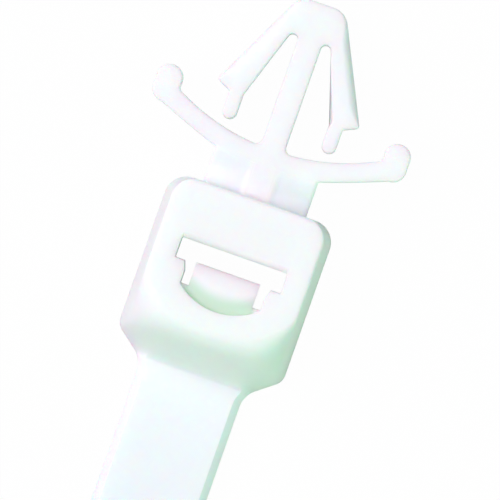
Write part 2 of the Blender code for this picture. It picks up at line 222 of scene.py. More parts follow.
def linear(code):
    """An sRGB hex colour as linear red, green and blue."""
    values = np.array([int(code[i : i + 2], 16) for i in (1, 3, 5)]) / 255
    return tuple(np.where(values > 0.04045, ((values + 0.055) / 1.055) ** 2.4, values / 12.92))


class TieSizes(PropertyGroup):
    """Sizes of the moulding that a user would change."""

    strap_width: FloatProperty(
        name="Strap width", default=4.8 * MM, description="Across the strap", **LENGTH)
    strap_thickness: FloatProperty(
        name="Strap thickness", default=1.1 * MM, description="From rails to smooth side", **LENGTH)
    strap_chamfer: FloatProperty(
        name="Strap chamfer", default=0.33 * MM, description="Bevel along its smooth side", **LENGTH)
    tooth_pitch: FloatProperty(
        name="Tooth pitch", default=1.25 * MM, description="From tooth to tooth", **LENGTH)
    tooth_depth: FloatProperty(
        name="Tooth depth", default=0.45 * MM, description="From rails to the bottom of a valley", **LENGTH)
    head_width: FloatProperty(
        name="Head width", default=7.68 * MM, description="Across the head at its back", **LENGTH)
    head_depth: FloatProperty(
        name="Head depth", default=5.3 * MM, description="From the head's back to its front", **LENGTH)
    head_draft: FloatProperty(
        name="Head draft", default=0.33 * MM, description="Each side's lean from back to front", **LENGTH)
    head_round: FloatProperty(
        name="Head edge", default=0.09 * MM, description="Radius of its front edges", **LENGTH)
    brow_round: FloatProperty(
        name="Top edge", default=0.2 * MM, description="Radius of the head's top edge", **LENGTH)
    chin_start: FloatProperty(
        name="Chin start", default=5.75 * MM, description="From the top edge to the front's turn", **LENGTH)
    lead_in: FloatProperty(
        name="Lead in", default=0.3 * MM, description="Rounding on the slot's upper front edge", **LENGTH)
    rim_round: FloatProperty(
        name="Window rim", default=0.06 * MM, description="Radius round the window's edges", **LENGTH)
    mount_depth: FloatProperty(
        name="Mount depth", default=3.6 * MM, description="Depth of arrowhead, stem and wings", **LENGTH)
    mount_round: FloatProperty(
        name="Mount edge", default=0.08 * MM, description="Radius of the push mount's edges", **LENGTH)
    leg_round: FloatProperty(
        name="Leg rounding", default=0.38 * MM, description="Rounding on the legs' outer faces", **LENGTH)
    wing_span: FloatProperty(
        name="Wing span", default=11.78 * MM, description="Across both knobs", **LENGTH)
    ledge_span: FloatProperty(
        name="Ledge span", default=6.57 * MM, description="Across both barbs", **LENGTH)


class NylonLook(PropertyGroup):
    """Colour and finish of the nylon, and the colours of its painted shades."""

    colour: FloatVectorProperty(
        name="Nylon", default=linear("#F8F9FB"), description="Colour of the moulded nylon", **COLOUR)
    # Painted shade of the pocket round the pawl's hinge
    painted_pocket_shade: FloatVectorProperty(
        name="Hinge", default=linear("#D2EAD5"), description="Colour at the pawl's hinge", **COLOUR)
    # Painted shade of the strap and the neck's web
    painted_strap_web_shade: FloatVectorProperty(
        name="Thin nylon", default=linear("#EFF3F7"), description="Colour of strap and web", **COLOUR)
    scatter: FloatVectorProperty(
        name="Scatter", default=(0.5, 1.2, 0.85), size=3, min=0,
        description="How far red, green and blue light travel inside, as shares of the scatter depth")
    scatter_depth: FloatProperty(
        name="Scatter depth", default=0.8 * MM, description="Scale of the light's travel inside", **LENGTH)
    roughness: FloatProperty(
        name="Roughness", default=0.58, min=0, max=1, description="Roughness of the moulded skin")
    grain: FloatProperty(
        name="Grain", default=0.12 * MM, description="Size of the mould's fine texture", **LENGTH)


class StudioLook(PropertyGroup):
    """Light and backdrop of the studio."""

    floor: FloatVectorProperty(
        name="Floor", default=linear("#D8D8D8"), description="Colour of the floor", **COLOUR)
    key: FloatProperty(
        name="Key light", default=3.42, min=0, description="Power of the large lamp at the upper left")
    key_colour: FloatVectorProperty(
        name="Key colour", default=linear("#FFF6FD"), description="Colour of the large lamp", **COLOUR)
    fill: FloatProperty(
        name="Fill light", default=0.64, min=0, description="Power of the faint lamp at the lower right")
    fill_colour: FloatVectorProperty(
        name="Fill colour", default=linear("#95FFAA"), description="Colour of the faint lamp", **COLOUR)
    sky: FloatProperty(
        name="Sky", default=0.35, min=0, description="Strength of the light from all round")
    sky_colour: FloatVectorProperty(
        name="Sky colour", default=linear("#ECF9FF"), description="Tint of that light", **COLOUR)


def arc(cx, cy, radius, start, end, steps):
    """Points on a circular arc: centre plus radius times the cosine and sine of evenly spaced angles."""
    angles = np.linspace(start, end, steps + 1)
    return np.stack([cx + radius * np.cos(angles), cy + radius * np.sin(angles)], 1)


def straight(start, end, steps):
    """Evenly spaced points from start to end, with the last one left out."""
    share = np.arange(steps)[:, None] / steps
    return np.array(start) * (1 - share) + np.array(end) * share


def ease(share):
    """A smooth step: 3 s^2 - 2 s^3 of a share s that is held between 0 and 1."""
    share = np.clip(share, 0, 1)
    return share * share * (3 - 2 * share)


def rounding(share):
    """A quarter circle's inset, 1 - sqrt(1 - s^2), at a share s of its height, held between 0 and 1."""
    share = np.clip(share, 0, 1)
    return 1 - np.sqrt(1 - share**2)


def grid_object(name, rings):
    """Makes a closed mesh of an array of rings (ring, point, xyz), with quads between neighbours and a face
    on each end."""
    count, points = rings.shape[:2]
    index = np.arange(count * points).reshape(count, points)
    beside = np.roll(index, -1, 1)
    quads = np.stack([index[:-1], index[1:], beside[1:], beside[:-1]], -1).reshape(-1, 4)
    mesh = bpy.data.meshes.new(name)
    ends = [index[0].tolist(), index[-1, ::-1].tolist()]
    mesh.from_pydata(rings.reshape(-1, 3), [], quads.tolist() + ends)
    edit = bmesh.new()
    edit.from_mesh(mesh)
    bmesh.ops.recalc_face_normals(edit, faces=edit.faces)
    edit.to_mesh(mesh)
    edit.free()
    made = bpy.data.objects.new(name, mesh)
    bpy.context.scene.collection.objects.link(made)
    return made


def inset_outline(outline, insets):
    """Moves each edge of a closed counter-clockwise outline in by its own inset. A point goes to where its
    two edges then meet: mean inset times (n1 + n2) / (1 + n1.n2), and at a corner also half their difference
    times (n1 - n2) / (1 - n1.n2)."""
    ahead = np.roll(outline, -1, 0) - outline
    ahead /= np.linalg.norm(ahead, axis=1)[:, None]
    normal = np.stack([-ahead[:, 1], ahead[:, 0]], 1)
    before = np.roll(normal, 1, 0)
    inset, inset_before = insets[:, None], np.roll(insets, 1)[:, None]
    dot = np.sum(normal * before, 1)[:, None]
    move = (inset + inset_before) / 2 * (normal + before) / (1 + dot)
    corner = (inset - inset_before) / 2 * (normal - before) / np.maximum(1 - dot, 0.1)
    return outline + move + np.where(dot < 0.8, corner, 0)


def shoulder_end(sizes):
    """Distance from the top edge to where the root fillet meets the strap's side."""
    radii = SHOULDER_RADIUS + ROOT_FILLET
    reach = (sizes.head_width - sizes.strap_width) / 2 - radii * (1 - math.sin(SHOULDER_ANGLE))
    return SHOULDER_TURN + radii * math.cos(SHOULDER_ANGLE) + reach * math.tan(SHOULDER_ANGLE)


def tooth_row(sizes):
    """Where the first valley starts, how many fit, and where the taper ends them."""
    start = shoulder_end(sizes) + TOOTH_START
    end = shoulder_end(sizes) + STRAP_LENGTH - TAPER_LENGTH
    return start, int((end - start) / sizes.tooth_pitch), end


def side_line(sizes):
    """Head and strap's half width as pairs (half width, distance down), from the top edge to the tip: a
    quarter circle, a straight side, the shoulder's and the root fillet's arcs with a slope between them, the
    toothed strap, a taper and a quarter circle."""
    half, strap = sizes.head_width / 2, sizes.strap_width / 2
    turn = QUARTER - SHOULDER_ANGLE
    low = shoulder_end(sizes)
    corner = arc(half - HEAD_CORNER, HEAD_CORNER, HEAD_CORNER, -QUARTER, 0, 24)
    shoulder = arc(half - SHOULDER_RADIUS, SHOULDER_TURN, SHOULDER_RADIUS, 0, turn, 12)
    fillet = arc(strap + ROOT_FILLET, low, ROOT_FILLET, math.pi + turn, math.pi, 18)
    side = straight(corner[-1], shoulder[0], 84)[1:]
    slope = straight(shoulder[-1], fillet[0], 8)[1:]
    start, count, end = tooth_row(sizes)
    valley = np.array([0, TOOTH_WALL, sizes.tooth_pitch * VALLEY_SHARE])
    down = start + sizes.tooth_pitch * np.arange(count)[:, None] + valley
    teeth = np.stack([np.full(down.size, strap), down.ravel()], 1)
    plain = straight(fillet[-1], teeth[0], 12)[1:]
    tip = TIP_WIDTH / 2
    tip_y = low + STRAP_LENGTH - tip
    taper = straight((strap, end), (tip, tip_y), 16)
    round_end = arc(0, tip_y, tip, 0, math.radians(88), 22)
    return np.concatenate([corner, side, shoulder, slope, fillet, plain, teeth, taper, round_end])


def front_height(x, down, sizes):
    """Height of the smooth side: the head's front, less the chin's drop, less a quarter circle's inset at the
    top edge. The chin starts on a parabola across the head, its slope grows with the square of the way to
    CHIN_FULL, stays, and fades in step with the way from CHIN_FADE to the strap."""
    start = sizes.chin_start - CHIN_BOW * (2 * x / sizes.head_width) ** 2
    grow = CHIN_FULL - start
    way = np.clip(down - start, 0, None)
    onset = np.where(way < grow, way**3 / (3 * grow**2), way - grow * 2 / 3)
    fade = CHIN_FOOT - CHIN_FADE
    past = np.clip(down - CHIN_FADE, 0, None)
    ending = np.where(past < fade, past**2 / (2 * fade), past - fade / 2)
    steepest = (sizes.head_depth - sizes.strap_thickness) / (CHIN_FADE + fade / 2 - start - grow * 2 / 3)
    rim = sizes.brow_round * rounding((sizes.brow_round - down) / sizes.brow_round)
    return sizes.head_depth - steepest * (onset - ending) - rim


def tooth_height(down, sizes):
    """Depth of the toothed band below the rails: from the head on, each valley drops to its full depth down a
    steep face and climbs evenly to the next crest."""
    start, count, _ = tooth_row(sizes)
    nudge = 0.0001 * MM  # puts a point that lies on a tooth's line past it
    along = (down - start + nudge) / sizes.tooth_pitch
    share = along - np.floor(along)
    steep = TOOTH_WALL / sizes.tooth_pitch
    rise = np.clip(share / steep, 0, 1)
    fall = np.clip((VALLEY_SHARE - share) / (VALLEY_SHARE - steep), 0, 1)
    return np.where((along < 0) | (along >= count), 0, sizes.tooth_depth * rise * fall)


def head_and_strap(sizes):
    """Rings along the tie. Each ring runs over the front, round both front edges, down the drafted sides and
    across the back: point = (x of the ring's parameter, distance down, height at that x). Where the tie is
    narrow, its edges and its draft are held to a share of its half width."""
    line = side_line(sizes)
    half, down = line[:, :1], line[:, 1:]
    on_head = ease((HEAD_END - down) / HEAD_FADE)
    lean = sizes.head_draft * on_head
    growth = np.clip((down - CHEEK_START) / CHEEK_GROWTH, 0, 1)
    cheek = CHEEK_ROUND * ease(growth * np.clip((CHEEK_END - down) / CHEEK_FADE, 0, 1))
    edge_x = sizes.head_round * on_head + sizes.strap_chamfer * (1 - on_head) + cheek
    edge_x = np.minimum(edge_x, 0.8 * half)
    edge_z = sizes.head_round * on_head + BEVEL_DEPTH * (1 - on_head) + cheek
    flat = half - np.minimum(lean, 0.2 * half) - edge_x
    front_x = flat * np.linspace(1, -1, 35)[None, :]
    front_z = front_height(front_x, down, sizes)
    # The edge is a quarter circle on the head and turns into a plain bevel on the strap
    turn = np.linspace(0, QUARTER, 7)[None, 1:]
    bevel = turn / QUARTER
    left_x = -flat - edge_x * (np.sin(turn) * on_head + bevel * (1 - on_head))
    left_z = front_z[:, -1:] - edge_z * ((1 - np.cos(turn)) * on_head + bevel * (1 - on_head))
    low = np.minimum(BACK_ROUND, 0.8 * half)
    share = np.linspace(0, 1, 6)[None, 1:]
    side_x = left_x[:, -1:] + (-half - left_x[:, -1:]) * share
    side_z = left_z[:, -1:] + (low - left_z[:, -1:]) * share
    bend = np.linspace(0, QUARTER, 5)[None, 1:]
    end_rim = BACK_ROUND * rounding((BACK_ROUND - down) / BACK_ROUND)
    heel_x = -half + low * (1 - np.cos(bend))
    heel_z = low * (1 - np.sin(bend)) + end_rim
    # The toothed band between the rails, with drafted walls
    band = np.minimum(TOOTH_BAND, 0.7 * (half - low))
    floor_half = np.maximum(band - TOOTH_WALL, 0.5 * band)
    rail = np.concatenate([-band, -floor_half], 1)
    middle = floor_half * np.linspace(-1, 1, 5)[None, 1:-1]
    back_x = np.concatenate([rail, middle, -rail[:, ::-1]], 1)
    back_z = tooth_height(down, sizes) * np.array([[0, 1, 1, 1, 1, 1, 0]]) + end_rim
    left, right = [left_x, side_x, heel_x], [-heel_x, -side_x, -left_x]
    x = np.concatenate([front_x, *left, back_x, *[part[:, ::-1] for part in right]], 1)
    left, right = [left_z, side_z, heel_z], [heel_z, side_z, left_z]
    z = np.concatenate([front_z, *left, back_z, *[part[:, ::-1] for part in right]], 1)
    y = np.broadcast_to(-down, x.shape)
    return grid_object("head_and_strap", np.stack([x, y, z], -1))


def through_depth(name, outline, heights, insets):
    """An outline carried through the depth: at each height its edges are inset by their own amounts, or let
    out where those are negative."""
    rings = []
    for height, inset in zip(heights, insets):
        ring = inset_outline(outline, np.broadcast_to(inset, len(outline)))
        rings.append(np.column_stack([ring, np.full(len(ring), height)]))
    return grid_object(name, np.array(rings))


def flare(radius, low, high):
    """Heights and outward offsets of a cutter that opens by a quarter circle at the surfaces low and high.
    Below high there are also the heights that the slot's lead-in needs."""
    rise = radius * (np.sin(np.linspace(0, QUARTER, 7)) - 1)
    lead = LEAD_DEPTH * (np.sin(np.linspace(0, 0.95, 8) * QUARTER) - 1)
    near_high = np.union1d(high + rise, high + lead)
    heights = np.concatenate([[low - CUT_MARGIN], (low - rise)[::-1], near_high, [high + CUT_MARGIN]])
    beyond = np.maximum(low + radius - heights, heights - high + radius)
    return heights, -radius * rounding(beyond / radius)


def corner_arc(before, corner, after, radius, steps=4):
    """The arc that rounds a corner. Its centre is on the corner's bisector, radius / sin(half angle) away."""
    before, corner, after = np.array(before), np.array(corner), np.array(after)
    back = (before - corner) / np.linalg.norm(before - corner)
    ahead = (after - corner) / np.linalg.norm(after - corner)
    half = math.acos(np.clip(np.dot(back, ahead), -1, 1)) / 2
    centre = corner + (back + ahead) / np.linalg.norm(back + ahead) * radius / math.sin(half)
    reach = radius / math.tan(half)
    share = np.linspace(0, 1, steps + 1)[:, None]
    spread = (corner + back * reach - centre) * (1 - share) + (corner + ahead * reach - centre) * share
    return centre + spread / np.linalg.norm(spread, axis=1)[:, None] * radius


def rounded(corners, radius):
    """A closed polygon with each corner rounded by an arc."""
    turns = zip(corners[-1:] + corners[:-1], corners, corners[1:] + corners[:1])
    return np.concatenate([corner_arc(before, corner, after, radius) for before, corner, after in turns])


def slot_opening(sizes):
    """The strap's way through: a rounded rectangle, flared at front and back, most at the front's upper
    edge, where the strap's end is led in."""
    top = -SLOT_TOP - SLOT_LEAN
    low = -SLOT_TOP - SLOT_HEIGHT
    corners = [(-SLOT_HALF, low), (SLOT_HALF, low), (SLOT_HALF, top), (-SLOT_HALF, top)]
    outline = rounded(corners, CORNER_ROUND)
    heights, offsets = flare(sizes.rim_round, 0, sizes.head_depth)
    insets = np.repeat(offsets[:, None], len(outline), 1)
    # The upper edge, with the last step of the arcs beside it
    at_top = outline[:, 1] > top - CORNER_ROUND / 6
    upper = at_top & np.roll(at_top, -1)
    lead = np.clip((heights - sizes.head_depth + LEAD_DEPTH) / LEAD_DEPTH, 0, 1)
    led = sizes.lead_in / 2 * (lead + rounding(lead))
    insets[:, upper] = np.where(heights > POCKET_FLOOR, -led, offsets)[:, None]
    return through_depth("slot_opening", outline, heights, insets)


def ear_points():
    """The window's right side from the slit up: in to the ear, and along it into the slot."""
    top = -SLOT_TOP - SLOT_LEAN - SLOT_HEIGHT / 2
    ear = -SLOT_TOP - SLOT_HEIGHT
    wide = POCKET_HALF + EAR_WIDTH
    return [(POCKET_HALF, ear - EAR_DEPTH), (wide, ear), (wide, top)]


def pocket_opening(sizes):
    """The pocket's plan, with straight sides and a circular bottom, from its floor to the front, where it
    opens by a quarter circle."""
    sag = POCKET_END - SLIT_END
    bow = (POCKET_HALF**2 + sag**2) / (2 * sag)
    spread = math.asin(POCKET_HALF / bow)
    bottom = arc(0, bow - POCKET_END, bow, -QUARTER - spread, -QUARTER + spread, 40)
    side = np.array(ear_points())
    outline = np.concatenate([bottom, side, side[::-1] * [-1, 1]])
    radius = 0.5 * sizes.rim_round
    turn = np.linspace(0, QUARTER, 7)
    rim = sizes.head_depth + radius * (np.sin(turn) - 1)
    heights = np.concatenate([[POCKET_FLOOR], rim, [sizes.head_depth + CUT_MARGIN]])
    offsets = np.concatenate([[0], -radius * (1 - np.cos(turn)), [-radius]])
    return through_depth("pocket_opening", outline, heights, offsets)


def slit_opening(sizes):
    """The way out of the pocket at the back, as long as the slits beside the pawl and with their ears."""
    side = [(POCKET_HALF, -SLIT_END), *ear_points()]
    outline = rounded(side + [(-x, y) for x, y in side[::-1]], CORNER_ROUND)
    heights, offsets = flare(sizes.rim_round, 0, sizes.head_depth)
    low = heights < POCKET_FLOOR
    heights = np.append(heights[low], POCKET_FLOOR + SLIT_OVERLAP)
    return through_depth("slit_opening", outline, heights, np.append(offsets[low], 0) + SLIT_INSET)


def pawl_tongue(sizes):
    """A side profile, as pairs (y, height), carried across x. Its foot and slope reach lower in the middle
    than at the sides, by a parabola, so the front face has a round lower edge."""
    depth = sizes.tooth_depth - RIDGE_GAP
    tip = arc(-PAWL_TIP - PAWL_EDGE, PAWL_FACE - PAWL_EDGE, PAWL_EDGE, 0, QUARTER, 4)[::-1]
    ridges = []
    for ridge in (1, 2):
        z = PAWL_FACE - ridge * sizes.tooth_pitch
        y = -PAWL_TIP - RIDGE_LEAN * ridge * sizes.tooth_pitch
        ridges += [(y - depth, z + depth / 4), (y, z)]
    # The hinge joins the pawl to the head near its back
    hinge_top, hinge_low, heel = np.array([(-4.39, 1.2), (-4.39, 0.4), (-4.99, 0.4)]) * MM
    upper = np.concatenate([tip, ridges, [hinge_top, hinge_low]])
    # From inside the pocket's end a parabola rises to the foot of the front face
    bottom, bend = np.array([(-5.3, 5.04), (-4.5, 5.1)]) * MM
    foot = np.array((PAWL_FOOT, PAWL_FACE))
    share = np.linspace(0, 1, 14)[:, None]
    slope = bottom * (1 - share) ** 2 + bend * 2 * share * (1 - share) + foot * share**2
    profile = np.concatenate([upper, [heel], slope])
    sags = np.arange(len(profile)) >= len(upper)
    x = PAWL_HALF * np.sin(np.linspace(-QUARTER, QUARTER, 31))[:, None]
    y = profile[:, 0] + PAWL_SAG * (x / PAWL_HALF) ** 2 * sags
    z = np.broadcast_to(profile[:, 1], y.shape)
    return grid_object("pawl_tongue", np.stack([np.broadcast_to(x, y.shape), y, z], -1))


def wing_underside(x):
    """Straight over the neck, then a parabola."""
    out = x - NECK_HALF
    return NECK_LENGTH + np.where(out < 0, UNDER_NECK * out, UNDER_SLOPE * out + UNDER_CURVE * out**2)


def wing_top(x):
    """A parabola from the stem to the knob."""
    out = x - STEM_HALF
    return WING_ROOT + TOP_SLOPE * out + TOP_CURVE * out**2


def wing_outline(sizes):
    """The right wing, counter-clockwise: underside, knob with its fillet, top and the stem's fillet."""
    knob_x = sizes.wing_span / 2 - KNOB_RADIUS
    knob_y = float(wing_underside(knob_x)) + KNOB_RADIUS
    start = np.linspace(STEM_HALF, NECK_HALF, 9)[:-1]
    under_x = np.concatenate([start, np.linspace(NECK_HALF, knob_x - KNOB_RADIUS / 4, 25)])
    under = np.stack([under_x, wing_underside(under_x)], 1)
    knob_low = arc(knob_x, knob_y, KNOB_RADIUS, -QUARTER, 0, 14)
    knob_high = arc(knob_x, knob_y + KNOB_LENGTH, KNOB_RADIUS, 0, math.pi, 28)
    corner_x = knob_x - KNOB_RADIUS - KNOB_FILLET
    slope = math.atan(TOP_SLOPE + 2 * TOP_CURVE * (corner_x - STEM_HALF))
    corner_y = float(wing_top(corner_x)) + KNOB_FILLET / math.cos(slope)
    corner = arc(corner_x, corner_y, KNOB_FILLET, 0, slope - QUARTER, 6)
    stem_x = STEM_HALF + STEM_FILLET
    top_start = corner_x + KNOB_FILLET * math.sin(slope) - TOP_STEP
    top_x = np.linspace(top_start, stem_x, 30)
    top = np.stack([top_x, wing_top(top_x)], 1)
    stem_y = float(wing_top(stem_x)) + STEM_FILLET
    fillet = arc(stem_x, stem_y, STEM_FILLET, -QUARTER, -math.pi, 8)[1:]
    return np.concatenate([under, knob_low, knob_high, corner, top, fillet])


def arrow_outline(sizes):
    """The arrowhead's right half, counter-clockwise: the gap's end, the leg's inner side, its tail, ledge,
    barb and outer side, and the tip."""
    gap_radius = GAP_WIDTH / 2
    gap_y = GAP_TOP - gap_radius
    inner_x = TAIL_X - TAIL_WIDTH
    lean = math.atan((inner_x - STEM_HALF - GAP_WIDTH) / (gap_y - LEG_TURN))
    gap = arc(STEM_HALF + gap_radius, gap_y, gap_radius, math.pi, lean, 16)
    inner = straight(gap[-1], (inner_x, LEG_TURN), 16)[1:]
    tail = arc(TAIL_X - TAIL_WIDTH / 2, TAIL_END + TAIL_WIDTH / 2, TAIL_WIDTH / 2, math.pi, 2 * math.pi, 18)
    inner_low = straight((inner_x, LEG_TURN), tail[0], 6)
    ledge_x = sizes.ledge_span / 2 + BARB_CUT
    ledge = (TAIL_X, LEDGE_Y - (ledge_x - TAIL_X) * math.tan(LEDGE_SLOPE))
    spread = math.atan((ledge_x - TIP_HALF) / (ARROW_REACH - LEDGE_Y))
    round_x = TIP_HALF + TIP_ROUND * (math.tan(spread) - 1 / math.cos(spread))
    tip = arc(round_x, ARROW_REACH - TIP_ROUND, TIP_ROUND, spread, QUARTER, 16)
    barb = corner_arc(ledge, (ledge_x, LEDGE_Y), tip[0], BARB_ROUND, 8)
    outer = straight(barb[-1], tip[0], 24)[1:]
    return np.concatenate([gap, inner, inner_low, tail, [ledge], barb, outer, tip])


def push_mount(sizes):
    """The mount's outline through its depth. Over each edge's rounding the inset is a - a sqrt(1 - t^2), an
    ellipse that is wider and deeper on the legs' outer faces, where the barbs suit a round hole. In its lower
    part the right leg's inner side also leans at the front."""
    right = np.concatenate([[(STEM_HALF, RIB_START)], wing_outline(sizes), arrow_outline(sizes)])
    outline = np.concatenate([right, right[::-1] * [-1, 1]])
    x, y = ((outline + np.roll(outline, -1, 0)) / 2).T
    line = (ARROW_REACH - y) / (ARROW_REACH - LEDGE_Y) * (sizes.ledge_span / 2 - TIP_HALF) + TIP_HALF
    outer = (np.abs(x) > line - OUTER_BAND) & (np.abs(x) < sizes.ledge_span / 2) & (y > LEDGE_Y)
    from_tip = np.clip((LEG_ROUND_TOP - y) / LEG_ROUND_TOP_FADE, 0, 1)
    from_barb = np.clip((y - LEG_ROUND_LOW) / LEG_ROUND_LOW_FADE, 0, 1)
    more = np.where(outer, from_tip * from_barb, 0)
    beside_gap = (x > STEM_HALF + GAP_WIDTH / 2) & (x < TAIL_X - TAIL_WIDTH / 2)
    inner = beside_gap & (y > LEG_TURN) & (y < GAP_TOP) & ~outer
    leaning = np.where(inner, LEG_LEAN * np.clip((LEG_LEAN_TOP - y) / LEG_LEAN_FADE, 0, 1), 0)
    width = sizes.mount_round + (sizes.leg_round - sizes.mount_round) * more
    depth = sizes.mount_round + (LEG_ROUND_DEPTH - sizes.mount_round) * more
    reach = sizes.mount_depth / 2
    # Levels close enough for both roundings, on both sides of the middle plane
    leg_steps = LEG_ROUND_DEPTH * np.sin(np.linspace(0, QUARTER, 14)[1:-3])
    edge_steps = LEG_ROUND_DEPTH - sizes.mount_round * np.cos(np.linspace(0, QUARTER, 8))
    steps = np.unique(np.round(np.concatenate([[0], leg_steps, edge_steps]), 8))
    side = reach - LEG_ROUND_DEPTH + steps
    levels = np.concatenate([-side[::-1], side])
    insets = []
    for level in levels:
        edge = width * rounding((abs(level) - reach + depth) / depth)
        insets.append(edge + MOUNT_DRAFT * abs(level) + leaning * max(level / reach, 0))
    return through_depth("push_mount", outline, levels + sizes.head_depth / 2, insets)


def neck_web(sizes):
    """A web between head and wings. Beside the rib it falls by a smooth step, then with the 1.5th power of
    the way to its edges, which quarter ellipses round. Towards the wings the fall fades out by a smooth step,
    so it meets them nearly flush."""
    y = np.linspace(WEB_START, WEB_END, 42)[:, None]
    x = NECK_HALF * np.sin(np.linspace(-QUARTER, QUARTER, 161))[None, :]
    step = ease((np.abs(x) - STEM_HALF + WEB_STEP_LAP) / WEB_STEP_WIDTH)
    out = np.clip((np.abs(x) - STEM_HALF) / (NECK_HALF - STEM_HALF), 0, 1)
    fall = (1 - ease((y - WEB_RISE_START) / WEB_RISE)) * (WEB_STEP * step + WEB_FALL * out**1.5)
    edge = WEB_ROUND_DEPTH * rounding((np.abs(x) - NECK_HALF + WEB_ROUND) / WEB_ROUND)
    thick = sizes.mount_depth / 2 - WEB_GAP - fall - edge
    x, y = np.broadcast_to(x, thick.shape), np.broadcast_to(y, thick.shape)
    front = np.stack([x, y, sizes.head_depth / 2 + thick], -1)
    back = front[:, ::-1] * [1, 1, -1] + [0, 0, sizes.head_depth]
    return grid_object("neck_web", np.concatenate([front, back], 1))


def combine(target, operation, other):
    """One exact Boolean on the target."""
    boolean = target.modifiers.new(other.name, "BOOLEAN")
    boolean.operation = operation
    boolean.solver = "EXACT"
    boolean.object = other
    return other


class CABLETIE_OT_moulding(Operator):
    """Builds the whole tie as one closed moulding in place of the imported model's plain solid"""

    bl_idname = "cabletie.moulding"
    bl_label = "Build the tie"

    def execute(self, context):
        sizes = context.scene.tie_sizes
        body = head_and_strap(sizes)
        openings, parts = (slot_opening, pocket_opening, slit_opening), (pawl_tongue, neck_web, push_mount)
        used = [combine(body, "DIFFERENCE", make(sizes)) for make in openings]
        used += [combine(body, "UNION", make(sizes)) for make in parts]
        context.view_layer.update()
        mesh = bpy.data.meshes.new_from_object(body.evaluated_get(context.evaluated_depsgraph_get()))
        if not mesh.polygons:
            raise RuntimeError("the tie's regions made no surface")
        for helper in [body, *used]:
            bpy.data.objects.remove(helper)
        mesh.transform(Matrix.Translation((0, HEAD_EDGE_Y, 0)))
        mesh.materials.clear()
        mesh.materials.append(moulded_nylon(context.scene.nylon_look))
        mesh.shade_smooth()
        mesh.set_sharp_from_angle(angle=SHARP_ANGLE)
        tie = bpy.data.objects.new("tie_moulding", mesh)
        context.scene.collection.objects.link(tie)
        normals = tie.modifiers.new("weighted normals", "WEIGHTED_NORMAL")
        normals.keep_sharp = True
        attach(tie, "root")
        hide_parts("cable_tie")
        return {"FINISHED"}


def add_node(tree, kind, settings=None, **links):
    """Adds a node, sets its values and fills its inputs, which are named by their label, or by i and their
    place. A socket is linked, and anything else is a value."""
    node = tree.nodes.new(kind)
    for name, value in (settings or {}).items():
        setattr(node, name, value)
    for name, value in links.items():
        placed = name[0] == "i" and name[1:].isdigit()
        socket = node.inputs[int(name[1:]) if placed else name.replace("_", " ")]
        if isinstance(value, bpy.types.NodeSocket):
            tree.links.new(value, socket)
        else:
            socket.default_value = value
    return node


def zone(tree, limits):
    """A soft zone: the product of smooth steps. Each runs from 0 to 1 while its value goes from the first
    limit to the second."""
    smooth = {"interpolation_type": "SMOOTHSTEP"}
    share = 1.0
    for value, none, full in limits:
        step = add_node(tree, "ShaderNodeMapRange", smooth, i0=value, i1=none, i2=full)
        product = add_node(tree, "ShaderNodeMath", {"operation": "MULTIPLY"}, i0=share, i1=step.outputs[0])
        share = product.outputs[0]
    return share


